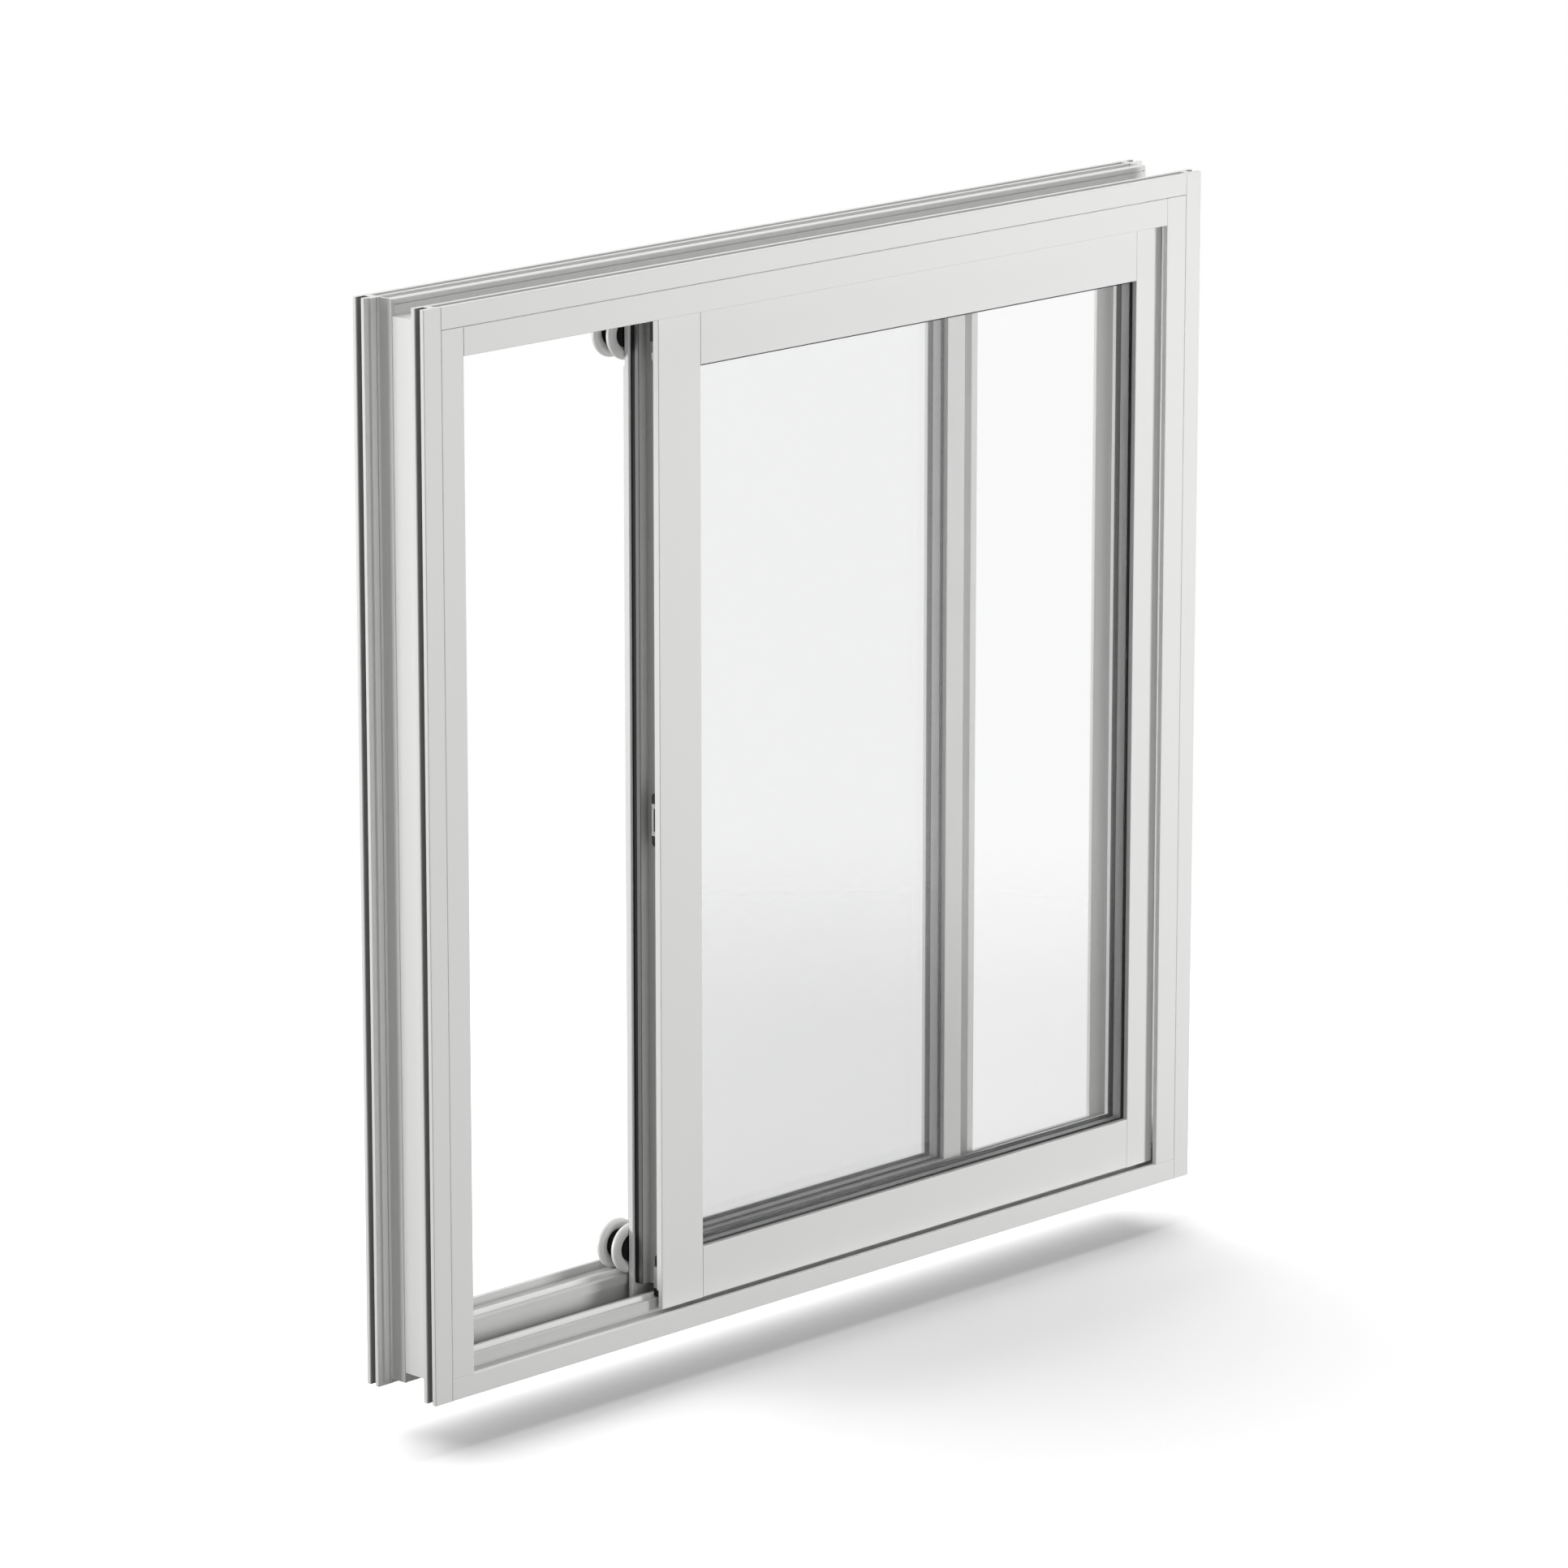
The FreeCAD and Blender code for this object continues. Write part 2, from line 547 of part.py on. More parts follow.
tyres = []
hubs = []
for side in (-1, 1):
    edge = BACK_BEAD_Y + side * WHEEL_SPAN / 2
    tyres.append(tyre(edge - side * WHEEL_DISC / 2))
    hubs.append(half_hub(edge - side * DISH, BACK_BEAD_Y + side * (ARM / 2 + ARM_GAP)))
low_pieces = {
    "roller_wheels": Part.makeCompound(tyres),
    "roller_hub": Part.makeCompound(hubs),
    "roller_fork": fork(),
}
for name, shape in low_pieces.items():
    parts["low_" + name] = shape
    parts["high_" + name] = as_head(shape)


# Rollers hidden in the bottom rails, each on a pin between the rail's walls

def small_roller(name, x, bead_y, bead_top, radius, y0):
    z = bead_top + ROLL_CLEAR + radius - SMALL_GROOVE
    plate_y = y0 + SASH_PLATE
    back = y0 + SASH_DEPTH - TUBE_WALL
    groove = radius - SMALL_GROOVE
    flange = BEAD_WIDTH + SMALL_FLANGE
    outline = [
        (0, plate_y - bead_y), (SMALL_AXLE_R, plate_y - bead_y), (SMALL_AXLE_R, -flange),
        (radius, -flange), (radius, -BEAD_WIDTH), (groove, -BEAD_WIDTH), (groove, BEAD_WIDTH),
        (radius, BEAD_WIDTH), (radius, flange), (SMALL_AXLE_R, flange),
        (SMALL_AXLE_R, back - bead_y), (0, back - bead_y),
    ]
    reach = radius + SLOT_CLEAR
    slot = block(x - reach, x + reach, plate_y, back, 0, RAIL_TOP - REBATE)
    parts[name + "_bottom_rail"] = parts[name + "_bottom_rail"].cut(slot)
    return turned(outline, SMALL_SIDES, Vector(x, bead_y, z), Vector(0, 1, 0), Vector(1, 0, 0))


front_rollers = [
    small_roller("front", x, FRONT_BEAD_Y, FRONT_BEAD_TOP, FRONT_SMALL_R, FRONT_Y)
    for x in (glass_left + SMALL_INSET, glass_right - SMALL_INSET)
]
parts["front_rollers"] = Part.makeCompound(front_rollers)
parts["back_roller"] = small_roller("back", back_glass_right - SMALL_INSET, BACK_BEAD_Y, BACK_BEAD_TOP,
                                    BACK_SMALL_R, BACK_Y)


# Hardware in the recess of the front sash, fixed to its floor

hardware_front = recess_floor - HARDWARE_REACH
hardware_mid = lip_back + HARDWARE_WIDTH / 2


# A bar with round ends, standing up in the recess
def round_bar(x0, x1, z0, z1, radius):
    bar = block(x0, x1, hardware_mid - radius, hardware_mid + radius, z0 + radius, z1 - radius)
    for z in (z0 + radius, z1 - radius):
        end = Part.makeCylinder(radius, x1 - x0, Vector(x0, hardware_mid, z), Vector(1, 0, 0))
        bar = bar.fuse(end)
    return bar.removeSplitter()


# A prism from an outline of (x, height) pairs, as wide as the hardware
def in_recess(outline):
    face = outlined(outline, lambda x, z: Vector(x, lip_back, z))
    return face.extrude(Vector(0, HARDWARE_WIDTH, 0))


latch_low = LATCH_HEIGHT - LATCH_LENGTH / 2
latch_high = LATCH_HEIGHT + LATCH_LENGTH / 2
sheet_back = hardware_front + FACE_SHEET
parts["latch_case"] = round_bar(sheet_back, recess_floor, latch_low, latch_high, HARDWARE_WIDTH / 2)
latch_plate = block(hardware_front, sheet_back, lip_back, lip_back + HARDWARE_WIDTH,
                    latch_low + HARDWARE_WIDTH, latch_high - HARDWARE_WIDTH)
latch_slot = round_bar(hardware_front, sheet_back, LATCH_HEIGHT - LATCH_SLOT / 2,
                       LATCH_HEIGHT + LATCH_SLOT / 2, LATCH_SLOT_WIDTH / 2)
parts["latch_plate"] = latch_plate.cut(latch_slot)

parts["bottom_bracket"] = in_recess([
    (hardware_front, BRACKET_BODY), (recess_floor, BRACKET_BODY), (recess_floor, BRACKET_TOP),
    (hardware_front, BRACKET_SLANT),
])
foot_pad = in_recess([
    (hardware_front, BRACKET_LOW), (recess_floor, BRACKET_LOW), (recess_floor, BRACKET_BODY),
    (hardware_front, BRACKET_BODY),
])
buffer = in_recess([
    (sheet_back, BRACKET_SLANT), (recess_floor, BRACKET_SLANT), (recess_floor, BRACKET_HIGH),
    (sheet_back, BRACKET_HIGH, FACE_SHEET),
])
parts["bracket_pads"] = Part.makeCompound([foot_pad, buffer.cut(parts["bottom_bracket"])])

guide_foot = HEIGHT - GUIDE_LOW
pin_foot = HEIGHT - PIN_LOW
knob_foot = HEIGHT - KNOB_LOW
parts["top_guide_block"] = in_recess([
    (hardware_front, guide_foot), (recess_floor, guide_foot), (recess_floor, HEIGHT - GUIDE_HIGH),
    (hardware_front, HEIGHT - GUIDE_HIGH, FACE_SHEET),
])
knob_r = HARDWARE_WIDTH / 2
knob_top = pin_foot - knob_foot
parts["top_knob"] = turned([
    (0, 0), (knob_r - KNOB_ROUND, 0), (knob_r, KNOB_ROUND), (knob_r, knob_top - KNOB_ROUND),
    (knob_r - KNOB_ROUND, knob_top), (PIN_R, knob_top), (PIN_R, guide_foot - knob_foot),
    (0, guide_foot - knob_foot),
], KNOB_SIDES, Vector(hardware_front + knob_r, hardware_mid, knob_foot), Vector(0, 0, 1), Vector(1, 0, 0))

# The brush seal stands on the back of the recess lip, short of the back sash
parts["meeting_brush_seal"] = block(lip_left, lip_left + SEAL_WIDTH, fb, BACK_Y - SEAL_CLEAR,
                                    front_tube_low, HEIGHT - front_tube_low)


# Move everything to the origin and write the files
os.makedirs("parts", exist_ok=True)
for name, shape in parts.items():
    placed = shape.copy()
    placed.translate(-ORIGIN)
    placed.exportStep("parts/" + name + ".step")
    print(name, "solids", len(placed.Solids), "valid", placed.isValid(), "volume", round(placed.Volume))
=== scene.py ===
import bpy
import json
import math
import numpy as np
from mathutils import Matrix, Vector


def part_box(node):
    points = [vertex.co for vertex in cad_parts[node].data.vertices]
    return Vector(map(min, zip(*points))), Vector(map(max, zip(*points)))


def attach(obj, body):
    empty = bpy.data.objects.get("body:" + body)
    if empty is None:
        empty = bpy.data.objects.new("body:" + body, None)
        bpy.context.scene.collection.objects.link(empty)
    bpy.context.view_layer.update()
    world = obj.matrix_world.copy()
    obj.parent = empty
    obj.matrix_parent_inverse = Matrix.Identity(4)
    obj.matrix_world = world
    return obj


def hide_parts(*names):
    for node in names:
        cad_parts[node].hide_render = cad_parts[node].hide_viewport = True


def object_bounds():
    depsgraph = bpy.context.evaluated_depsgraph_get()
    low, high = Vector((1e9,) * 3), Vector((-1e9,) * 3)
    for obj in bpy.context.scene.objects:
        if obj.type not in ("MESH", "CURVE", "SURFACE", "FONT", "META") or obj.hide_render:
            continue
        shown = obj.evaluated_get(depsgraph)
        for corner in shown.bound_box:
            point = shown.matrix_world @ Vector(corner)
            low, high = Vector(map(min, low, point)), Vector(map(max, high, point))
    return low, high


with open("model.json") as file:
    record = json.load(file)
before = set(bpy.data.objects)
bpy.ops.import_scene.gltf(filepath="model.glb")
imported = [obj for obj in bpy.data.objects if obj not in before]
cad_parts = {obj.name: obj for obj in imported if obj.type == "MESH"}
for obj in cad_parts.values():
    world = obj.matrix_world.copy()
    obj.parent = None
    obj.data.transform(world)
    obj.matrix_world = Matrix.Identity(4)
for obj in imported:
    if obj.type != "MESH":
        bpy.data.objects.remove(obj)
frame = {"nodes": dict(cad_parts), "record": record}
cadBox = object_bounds()
nodes = frame["nodes"]
millimetre = 0.001
print("frame loaded:", len(nodes), "nodes")


# Turn a node's name into the scene's way of writing names
def camel(label):
    words = label.split("_")
    return words[0] + "".join(word.capitalize() for word in words[1:])


# Make a shader node and set its own properties
def addNode(tree, kind, **settings):
    node = tree.nodes.new("ShaderNode" + kind)
    for label, value in settings.items():
        setattr(node, label, value)
    return node


# Camera and light

# view: angles and distance of the photograph's camera, lengths in metres, the lens and its
# sensor in millimetres
view = {
    "azimuth": 44.76,
    "elevation": 14.34,
    "distance": 7.258,
    "aim": (-0.0146, 0.0295, 0.4737),
    "lens": 179.44,
    "sensor": 36,
    "farthest": 60,
}


def makeCamera():
    azimuth = math.radians(view["azimuth"])
    elevation = math.radians(view["elevation"])
    back = Vector((
        -math.sin(azimuth) * math.cos(elevation),
        -math.cos(azimuth) * math.cos(elevation),
        math.sin(elevation),
    ))
    camera = bpy.data.objects.new("windowCamera", bpy.data.cameras.new("windowCamera"))
    camera.data.lens = view["lens"]
    camera.data.sensor_width = view["sensor"]
    camera.data.clip_end = view["farthest"]
    camera.location = Vector(view["aim"]) + back * view["distance"]
    camera.rotation_euler = back.to_track_quat("Z", "Y").to_euler()
    bpy.context.scene.collection.objects.link(camera)
    bpy.context.scene.camera = camera


# lamps: square softboxes, each with the point it looks at, power in watts. The side lamp
# stands behind the plane of the window, so the outer web darkens towards its back fin. The
# overhead lamp is too large to be mirrored in the glass, so it gives no reflections, and of
# the lamps it alone lights the floor.
lamps = {
    "overhead": {"at": (0.0, 1.3, 2.7), "aim": (0.0, 0.0, 0.0), "size": 4.4, "power": 92},
    "key": {"at": (2.0, -2.7, 0.7), "aim": (0.1, 0.0, 0.5), "size": 0.85, "power": 68},
    "front": {"at": (-1.0, -3.2, 0.5), "aim": (0.0, 0.0, 0.5), "size": 1.6, "power": 20},
    "side": {"at": (-2.45, 2.6, 0.3), "aim": (-0.4, 0.05, 0.5), "size": 1.1, "power": 84},
}


def makeLamps():
    for name, values in lamps.items():
        data = bpy.data.lights.new(name + "Lamp", "AREA")
        data.shape = "SQUARE"
        data.size = values["size"]
        data.energy = values["power"]
        lamp = bpy.data.objects.new(name + "Lamp", data)
        lamp.location = values["at"]
        toAim = Vector(values["aim"]) - Vector(values["at"])
        lamp.rotation_euler = toAim.to_track_quat("-Z", "Y").to_euler()
        lamp.visible_glossy = name != "overhead"
        bpy.context.scene.collection.objects.link(lamp)


# backdrop: the world is white where the camera, a mirror or the glass sees it, and a weaker
# fill elsewhere; the floor is a round patch that fades out before its edge. Its tones are
# those that the camera sees, that show through glass, and that bounced light meets.
backdrop = {"white": 1.0, "fill": 0.2, "floorDrop": 0.05, "floorSize": 5.0, "fadeFrom": 0.9,
            "fadeTo": 1.9, "shown": 1.65, "through": 1.2, "bounced": 0.3, "glow": 0.17}


def makeWorld():
    world = bpy.data.worlds.new("studioWorld")
    world.use_nodes = True
    tree = world.node_tree
    tree.nodes.clear()
    path = addNode(tree, "LightPath")
    mirrored = addNode(tree, "Math", operation="MAXIMUM")
    tree.links.new(path.outputs["Is Glossy Ray"], mirrored.inputs[0])
    tree.links.new(path.outputs["Is Transmission Ray"], mirrored.inputs[1])
    seen = addNode(tree, "Math", operation="MAXIMUM")
    tree.links.new(path.outputs["Is Camera Ray"], seen.inputs[0])
    tree.links.new(mirrored.outputs[0], seen.inputs[1])
    mix = addNode(tree, "MixShader")
    tree.links.new(seen.outputs[0], mix.inputs[0])
    for socket, strength in ((1, "fill"), (2, "white")):
        light = addNode(tree, "Background")
        light.inputs["Color"].default_value = (1, 1, 1, 1)
        light.inputs["Strength"].default_value = backdrop[strength]
        tree.links.new(light.outputs[0], mix.inputs[socket])
    out = addNode(tree, "OutputWorld")
    tree.links.new(mix.outputs[0], out.inputs[0])
    bpy.context.scene.world = world


# Floor: matte, white where the camera sees it and darker for bounced light, clear towards
# its edge; a little light of its own keeps its shadow from going too dark
def floorMaterial():
    material = bpy.data.materials.new("whiteFloor")
    material.use_nodes = True
    tree = material.node_tree
    tree.nodes.clear()
    place = addNode(tree, "TexCoord")
    reach = addNode(tree, "VectorMath", operation="LENGTH")
    tree.links.new(place.outputs["Object"], reach.inputs[0])
    fade = addNode(tree, "MapRange", interpolation_type="SMOOTHSTEP")
    fade.inputs["From Min"].default_value = backdrop["fadeFrom"]
    fade.inputs["From Max"].default_value = backdrop["fadeTo"]
    tree.links.new(reach.outputs["Value"], fade.inputs["Value"])
    path = addNode(tree, "LightPath")
    albedo = None
    for ray, tone in (("Is Camera Ray", "shown"), ("Is Transmission Ray", "through")):
        level = addNode(tree, "Math", operation="MULTIPLY_ADD")
        level.inputs[1].default_value = backdrop[tone] - backdrop["bounced"]
        level.inputs[2].default_value = backdrop["bounced"]
        tree.links.new(path.outputs[ray], level.inputs[0])
        if albedo:
            tree.links.new(albedo.outputs[0], level.inputs[2])
        albedo = level
    matte = addNode(tree, "BsdfDiffuse")
    tree.links.new(albedo.outputs[0], matte.inputs["Color"])
    strength = addNode(tree, "Math", operation="MULTIPLY")
    strength.inputs[1].default_value = backdrop["glow"]
    tree.links.new(path.outputs["Is Camera Ray"], strength.inputs[0])
    glow = addNode(tree, "Emission")
    tree.links.new(strength.outputs[0], glow.inputs["Strength"])
    lit = addNode(tree, "AddShader")
    tree.links.new(matte.outputs[0], lit.inputs[0])
    tree.links.new(glow.outputs[0], lit.inputs[1])
    clear = addNode(tree, "BsdfTransparent")
    mix = addNode(tree, "MixShader")
    tree.links.new(fade.outputs["Result"], mix.inputs[0])
    tree.links.new(lit.outputs[0], mix.inputs[1])
    tree.links.new(clear.outputs[0], mix.inputs[2])
    out = addNode(tree, "OutputMaterial")
    tree.links.new(mix.outputs[0], out.inputs["Surface"])
    return material


# The floor, and a list that keeps every lamp but the overhead one off it
def makeFloor():
    half = backdrop["floorSize"] / 2
    corners = [(-half, -half, 0), (half, -half, 0), (half, half, 0), (-half, half, 0)]
    mesh = bpy.data.meshes.new("studioFloor")
    mesh.from_pydata(corners, [], [(0, 1, 2, 3)])
    mesh.materials.append(floorMaterial())
    floor = bpy.data.objects.new("studioFloor", mesh)
    floor.location = (0, 0, cadBox[0][2] - backdrop["floorDrop"])
    bpy.context.scene.collection.objects.link(floor)
    flagged = bpy.data.collections.new("flaggedFloor")
    flagged.objects.link(floor)
    flagged.collection_objects[0].light_linking.link_state = "EXCLUDE"
    for name in ("key", "front", "side"):
        bpy.data.objects[name + "Lamp"].light_linking.receiver_collection = flagged


makeCamera()
makeLamps()
makeWorld()
makeFloor()
print("camera, lamps and floor ready")


# Finishes

# coat: white powder coat on the profiles
coat = {"color": (0.80, 0.80, 0.79), "grain": 900.0, "drift": 0.02, "rough": (0.44, 0.54),
        "bump": 0.05, "specular": 0.25}

# painted shade inside the channels: darker tones for the recess of the meeting stile, its lip, the track
# and the grooves, where shade falls
recessPaintedShade = {"color": (0.50, 0.50, 0.49), "grain": 700.0, "drift": 0.10}
lipPaintedShade = {"color": (0.13, 0.13, 0.13), "grain": 700.0, "drift": 0.1}
trackPaintedShade = {"color": (0.58, 0.58, 0.575), "grain": 700.0, "drift": 0.12}
groovePaintedShade = {"color": (0.34, 0.34, 0.335), "grain": 700.0, "drift": 0.12}

# fittings: rubber, plastic, nylon, the spacer's aluminium and the plated steel
rubber = {"color": (0.010, 0.010, 0.010), "grain": 500.0, "drift": 0.3, "rough": (0.50, 0.65),
          "bump": 0.08, "specular": 0.3}
plastic = {"color": (0.012, 0.012, 0.013), "grain": 800.0, "drift": 0.3, "rough": (0.55, 0.7),
           "bump": 0.1, "specular": 0.12}
nylon = {"color": (0.80, 0.80, 0.79), "grain": 300.0, "drift": 0.05, "rough": (0.35, 0.45), "bump": 0.03}
mill = {"color": (0.90, 0.90, 0.89), "grain": 600.0, "drift": 0.1, "rough": (0.35, 0.5), "bump": 0.06}
steel = {"color": (0.30, 0.30, 0.305), "grain": 900.0, "drift": 0.2, "rough": (0.45, 0.6),
         "bump": 0.1, "metallic": 0.1, "specular": 0.3}

# pane: nearly clear
pane = {"color": (0.975, 0.976, 0.976), "index": 1.45}

# plain: what a finish has where it says nothing else; relief is the bump's height in metres
plain = {"metallic": 0.0, "specular": 0.5, "relief": 0.0002}

# noise: the detail of the fine height, and the scale and detail of the slow drift
noise = {"fineDetail": 2.0, "slowScale": 3.0, "slowDetail": 3.0}


def newGroup(name, inputs, outputs):
    group = bpy.data.node_groups.new(name, "ShaderNodeTree")
    for label, kind, value in inputs:
        socket = group.interface.new_socket(label, in_out="INPUT", socket_type=kind)
        if value is not None:
            socket.default_value = value
    for label, kind in outputs:
        group.interface.new_socket(label, in_out="OUTPUT", socket_type=kind)
    source = group.nodes.new("NodeGroupInput")
    result = group.nodes.new("NodeGroupOutput")
    return group, source, result


# Surface: a fine height, a slow drift of tone, and a roughness that follows the height. The
# tone is the colour times 1 plus the drift times the slow noise less a half.
def makeSurfaceGroup():
    group, source, result = newGroup(
        "fineSurface",
        [("Vector", "NodeSocketVector", None), ("Color", "NodeSocketColor", (*coat["color"], 1)),
         ("Grain", "NodeSocketFloat", coat["grain"]), ("Drift", "NodeSocketFloat", coat["drift"]),
         ("Rough Low", "NodeSocketFloat", coat["rough"][0]),
         ("Rough High", "NodeSocketFloat", coat["rough"][1])],
        [("Color", "NodeSocketColor"), ("Height", "NodeSocketFloat"), ("Roughness", "NodeSocketFloat")],
    )
    links = group.links
    grain = addNode(group, "TexNoise")
    grain.inputs["Detail"].default_value = noise["fineDetail"]
    links.new(source.outputs["Vector"], grain.inputs["Vector"])
    links.new(source.outputs["Grain"], grain.inputs["Scale"])
    slow = addNode(group, "TexNoise")
    slow.inputs["Scale"].default_value = noise["slowScale"]
    slow.inputs["Detail"].default_value = noise["slowDetail"]
    links.new(source.outputs["Vector"], slow.inputs["Vector"])
    centred = addNode(group, "Math", operation="SUBTRACT")
    centred.inputs[1].default_value = 0.5
    links.new(slow.outputs["Fac"], centred.inputs[0])
    amount = addNode(group, "Math", operation="MULTIPLY_ADD")
    amount.inputs[2].default_value = 1.0
    links.new(centred.outputs[0], amount.inputs[0])
    links.new(source.outputs["Drift"], amount.inputs[1])
    tone = addNode(group, "VectorMath", operation="SCALE")
    links.new(source.outputs["Color"], tone.inputs[0])
    links.new(amount.outputs[0], tone.inputs["Scale"])
    links.new(tone.outputs[0], result.inputs["Color"])
    links.new(grain.outputs["Fac"], result.inputs["Height"])
    rough = addNode(group, "MapRange")
    links.new(grain.outputs["Fac"], rough.inputs["Value"])
    links.new(source.outputs["Rough Low"], rough.inputs["To Min"])
    links.new(source.outputs["Rough High"], rough.inputs["To Max"])
    links.new(rough.outputs["Result"], result.inputs["Roughness"])
    return group


# Inside: 1 between two corners of a box, 0 outside it
def makeInsideGroup():
    group, source, result = newGroup(
        "insideBox",
        [("Vector", "NodeSocketVector", None), ("Low", "NodeSocketVector", None),
         ("High", "NodeSocketVector", None)],
        [("Mask", "NodeSocketFloat")],
    )
    links = group.links
    separated = {}
    for label in ("Vector", "Low", "High"):
        separated[label] = addNode(group, "SeparateXYZ")
        links.new(source.outputs[label], separated[label].inputs[0])
    mask = None
    for axis in range(3):
        for bound, operation in (("Low", "GREATER_THAN"), ("High", "LESS_THAN")):
            test = addNode(group, "Math", operation=operation)
            links.new(separated["Vector"].outputs[axis], test.inputs[0])
            links.new(separated[bound].outputs[axis], test.inputs[1])
            if mask is None:
                mask = test
                continue
            both = addNode(group, "Math", operation="MULTIPLY")
            links.new(mask.outputs[0], both.inputs[0])
            links.new(test.outputs[0], both.inputs[1])
            mask = both
    links.new(mask.outputs[0], result.inputs["Mask"])
    return group


surfaceGroup = makeSurfaceGroup()
insideGroup = makeInsideGroup()


# Place the fine surface in a material, in the object's own coordinates
def addSurface(tree, values):
    place = addNode(tree, "TexCoord")
    surface = addNode(tree, "Group", node_tree=surfaceGroup)
    surface.inputs["Color"].default_value = (*values["color"], 1)
    surface.inputs["Grain"].default_value = values["grain"]
    surface.inputs["Drift"].default_value = values["drift"]
    tree.links.new(place.outputs["Object"], surface.inputs["Vector"])
    return surface


# Make a material whose colour, roughness and bump come from the fine surface
def surfaceMaterial(name, values):
    material = bpy.data.materials.new(name)
    material.use_nodes = True
    tree = material.node_tree
    shader = tree.nodes["Principled BSDF"]
    shader.inputs["Metallic"].default_value = values.get("metallic", plain["metallic"])
    shader.inputs["Specular IOR Level"].default_value = values.get("specular", plain["specular"])
    surface = addSurface(tree, values)
    surface.name = "surface"
    surface.inputs["Rough Low"].default_value = values["rough"][0]
    surface.inputs["Rough High"].default_value = values["rough"][1]
    tree.links.new(surface.outputs["Color"], shader.inputs["Base Color"])
    tree.links.new(surface.outputs["Roughness"], shader.inputs["Roughness"])
    relief = addNode(tree, "Bump")
    relief.inputs["Strength"].default_value = values["bump"]
    relief.inputs["Distance"].default_value = plain["relief"]
    tree.links.new(surface.outputs["Height"], relief.inputs["Height"])
    tree.links.new(relief.outputs["Normal"], shader.inputs["Normal"])
    return material


# Glass lets shadow rays and bounced light through, less of it at a grazing angle: what
# a surface passes is 1 minus its Fresnel reflection
def glassMaterial():
    material = bpy.data.materials.new("clearPane")
    material.use_nodes = True
    tree = material.node_tree
    shader = tree.nodes["Principled BSDF"]
    shader.inputs["Base Color"].default_value = (*pane["color"], 1)
    shader.inputs["Roughness"].default_value = 0.0
    shader.inputs["Transmission Weight"].default_value = 1.0
    shader.inputs["IOR"].default_value = pane["index"]
    reflected = addNode(tree, "Fresnel")
    reflected.inputs["IOR"].default_value = pane["index"]
    passed = addNode(tree, "Math", operation="SUBTRACT", use_clamp=True)
    passed.inputs[0].default_value = 1.0
    tree.links.new(reflected.outputs[0], passed.inputs[1])
    clear = addNode(tree, "BsdfTransparent")
    tree.links.new(passed.outputs[0], clear.inputs["Color"])
    path = addNode(tree, "LightPath")
    passing = addNode(tree, "Math", operation="MAXIMUM")
    tree.links.new(path.outputs["Is Shadow Ray"], passing.inputs[0])
    tree.links.new(path.outputs["Is Diffuse Ray"], passing.inputs[1])
    mix = addNode(tree, "MixShader")
    tree.links.new(passing.outputs[0], mix.inputs[0])
    tree.links.new(shader.outputs[0], mix.inputs[1])
    tree.links.new(clear.outputs[0], mix.inputs[2])
    tree.links.new(mix.outputs[0], tree.nodes["Material Output"].inputs["Surface"])
    return material


finishes = {
    "coated_aluminium": surfaceMaterial("powderCoat", coat),
    "pane_glass": glassMaterial(),
    "gasket_rubber": surfaceMaterial("gasketRubber", rubber),
    "spacer_aluminium": surfaceMaterial("spacerAluminium", mill),
    "roller_nylon": surfaceMaterial("rollerNylon", nylon),
    "black_plastic": surfaceMaterial("blackPlastic", plastic),
    "plated_steel": surfaceMaterial("platedSteel", steel),
}
for part in frame["record"]["subparts"]:
    mesh = nodes[part["node"]].data
    mesh.materials.clear()
    mesh.materials.append(finishes[part["material_slot"]])


# A profile is coated outside, and painted a darker tone as shade in each box that holds a channel
def shadedChannelMaterial(name, boxes):
    material = surfaceMaterial(name, coat)
    tree = material.node_tree
    colour = tree.nodes["surface"].outputs["Color"]
    place = addNode(tree, "TexCoord")
    for (low, high), inner in boxes:
        inside = addNode(tree, "Group", node_tree=insideGroup)
        inside.inputs["Low"].default_value = low
        inside.inputs["High"].default_value = high
        tree.links.new(place.outputs["Object"], inside.inputs["Vector"])
        grey = addSurface(tree, inner)
        mix = addNode(tree, "Mix", data_type="RGBA")
        tree.links.new(inside.outputs["Mask"], mix.inputs["Factor"])
        tree.links.new(colour, mix.inputs["A"])
        tree.links.new(grey.outputs["Color"], mix.inputs["B"])
        colour = mix.outputs["Result"]
    tree.links.new(colour, tree.nodes["Principled BSDF"].inputs["Base Color"])
    return material


# past: how far in metres a box of tone runs on past its piece along an axis that it fills
past = 1.0


# Make the two corners of a box in a node. On each axis it has two depths in millimetres from
# the node's low side, from its high side where the axis is flipped, or None to fill the axis.
def depthBox(node, depths, flipped=()):
    low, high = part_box(node)
    spans = []
    for axis, depth in enumerate(depths):
        if depth is None:
            spans.append((low[axis] - past, high[axis] + past))
        elif axis in flipped:
            spans.append((high[axis] - depth[1] * millimetre, high[axis] - depth[0] * millimetre))
        else:
            spans.append((low[axis] + depth[0] * millimetre, low[axis] + depth[1] * millimetre))
    return tuple(zip(*spans))


# recess: of the meeting stile, sideways and from its front face to past its back face, painted a darker
# grey as shade; its lip sideways, and from a little past its back face inwards, painted near black as
# shade
recess = {"side": (1.6, 12.2), "front": (7.6, 1000.0), "lipSide": (1.6, 3.4), "lipBack": (-1.0, 5.3)}
nodes["front_left_stile"].data.materials[0] = shadedChannelMaterial("coatWithShadedRecess", [
    (depthBox("front_left_stile", (recess["side"], recess["front"], None)), recessPaintedShade),
    (depthBox("front_left_stile", (recess["lipSide"], recess["lipBack"], None), flipped=(1,)), lipPaintedShade),
])

# track: the channel of the sill and the head between their two plates, painted a darker grey as shade
track = {"between": (5.5, 88.6), "up": (17.0, 52.6)}
for node, flipped in (("sill", ()), ("head", (2,))):
    channel = depthBox(node, (None, track["between"], track["up"]), flipped)
    nodes[node].data.materials[0] = shadedChannelMaterial(node + "Coat", [(channel, trackPaintedShade)])
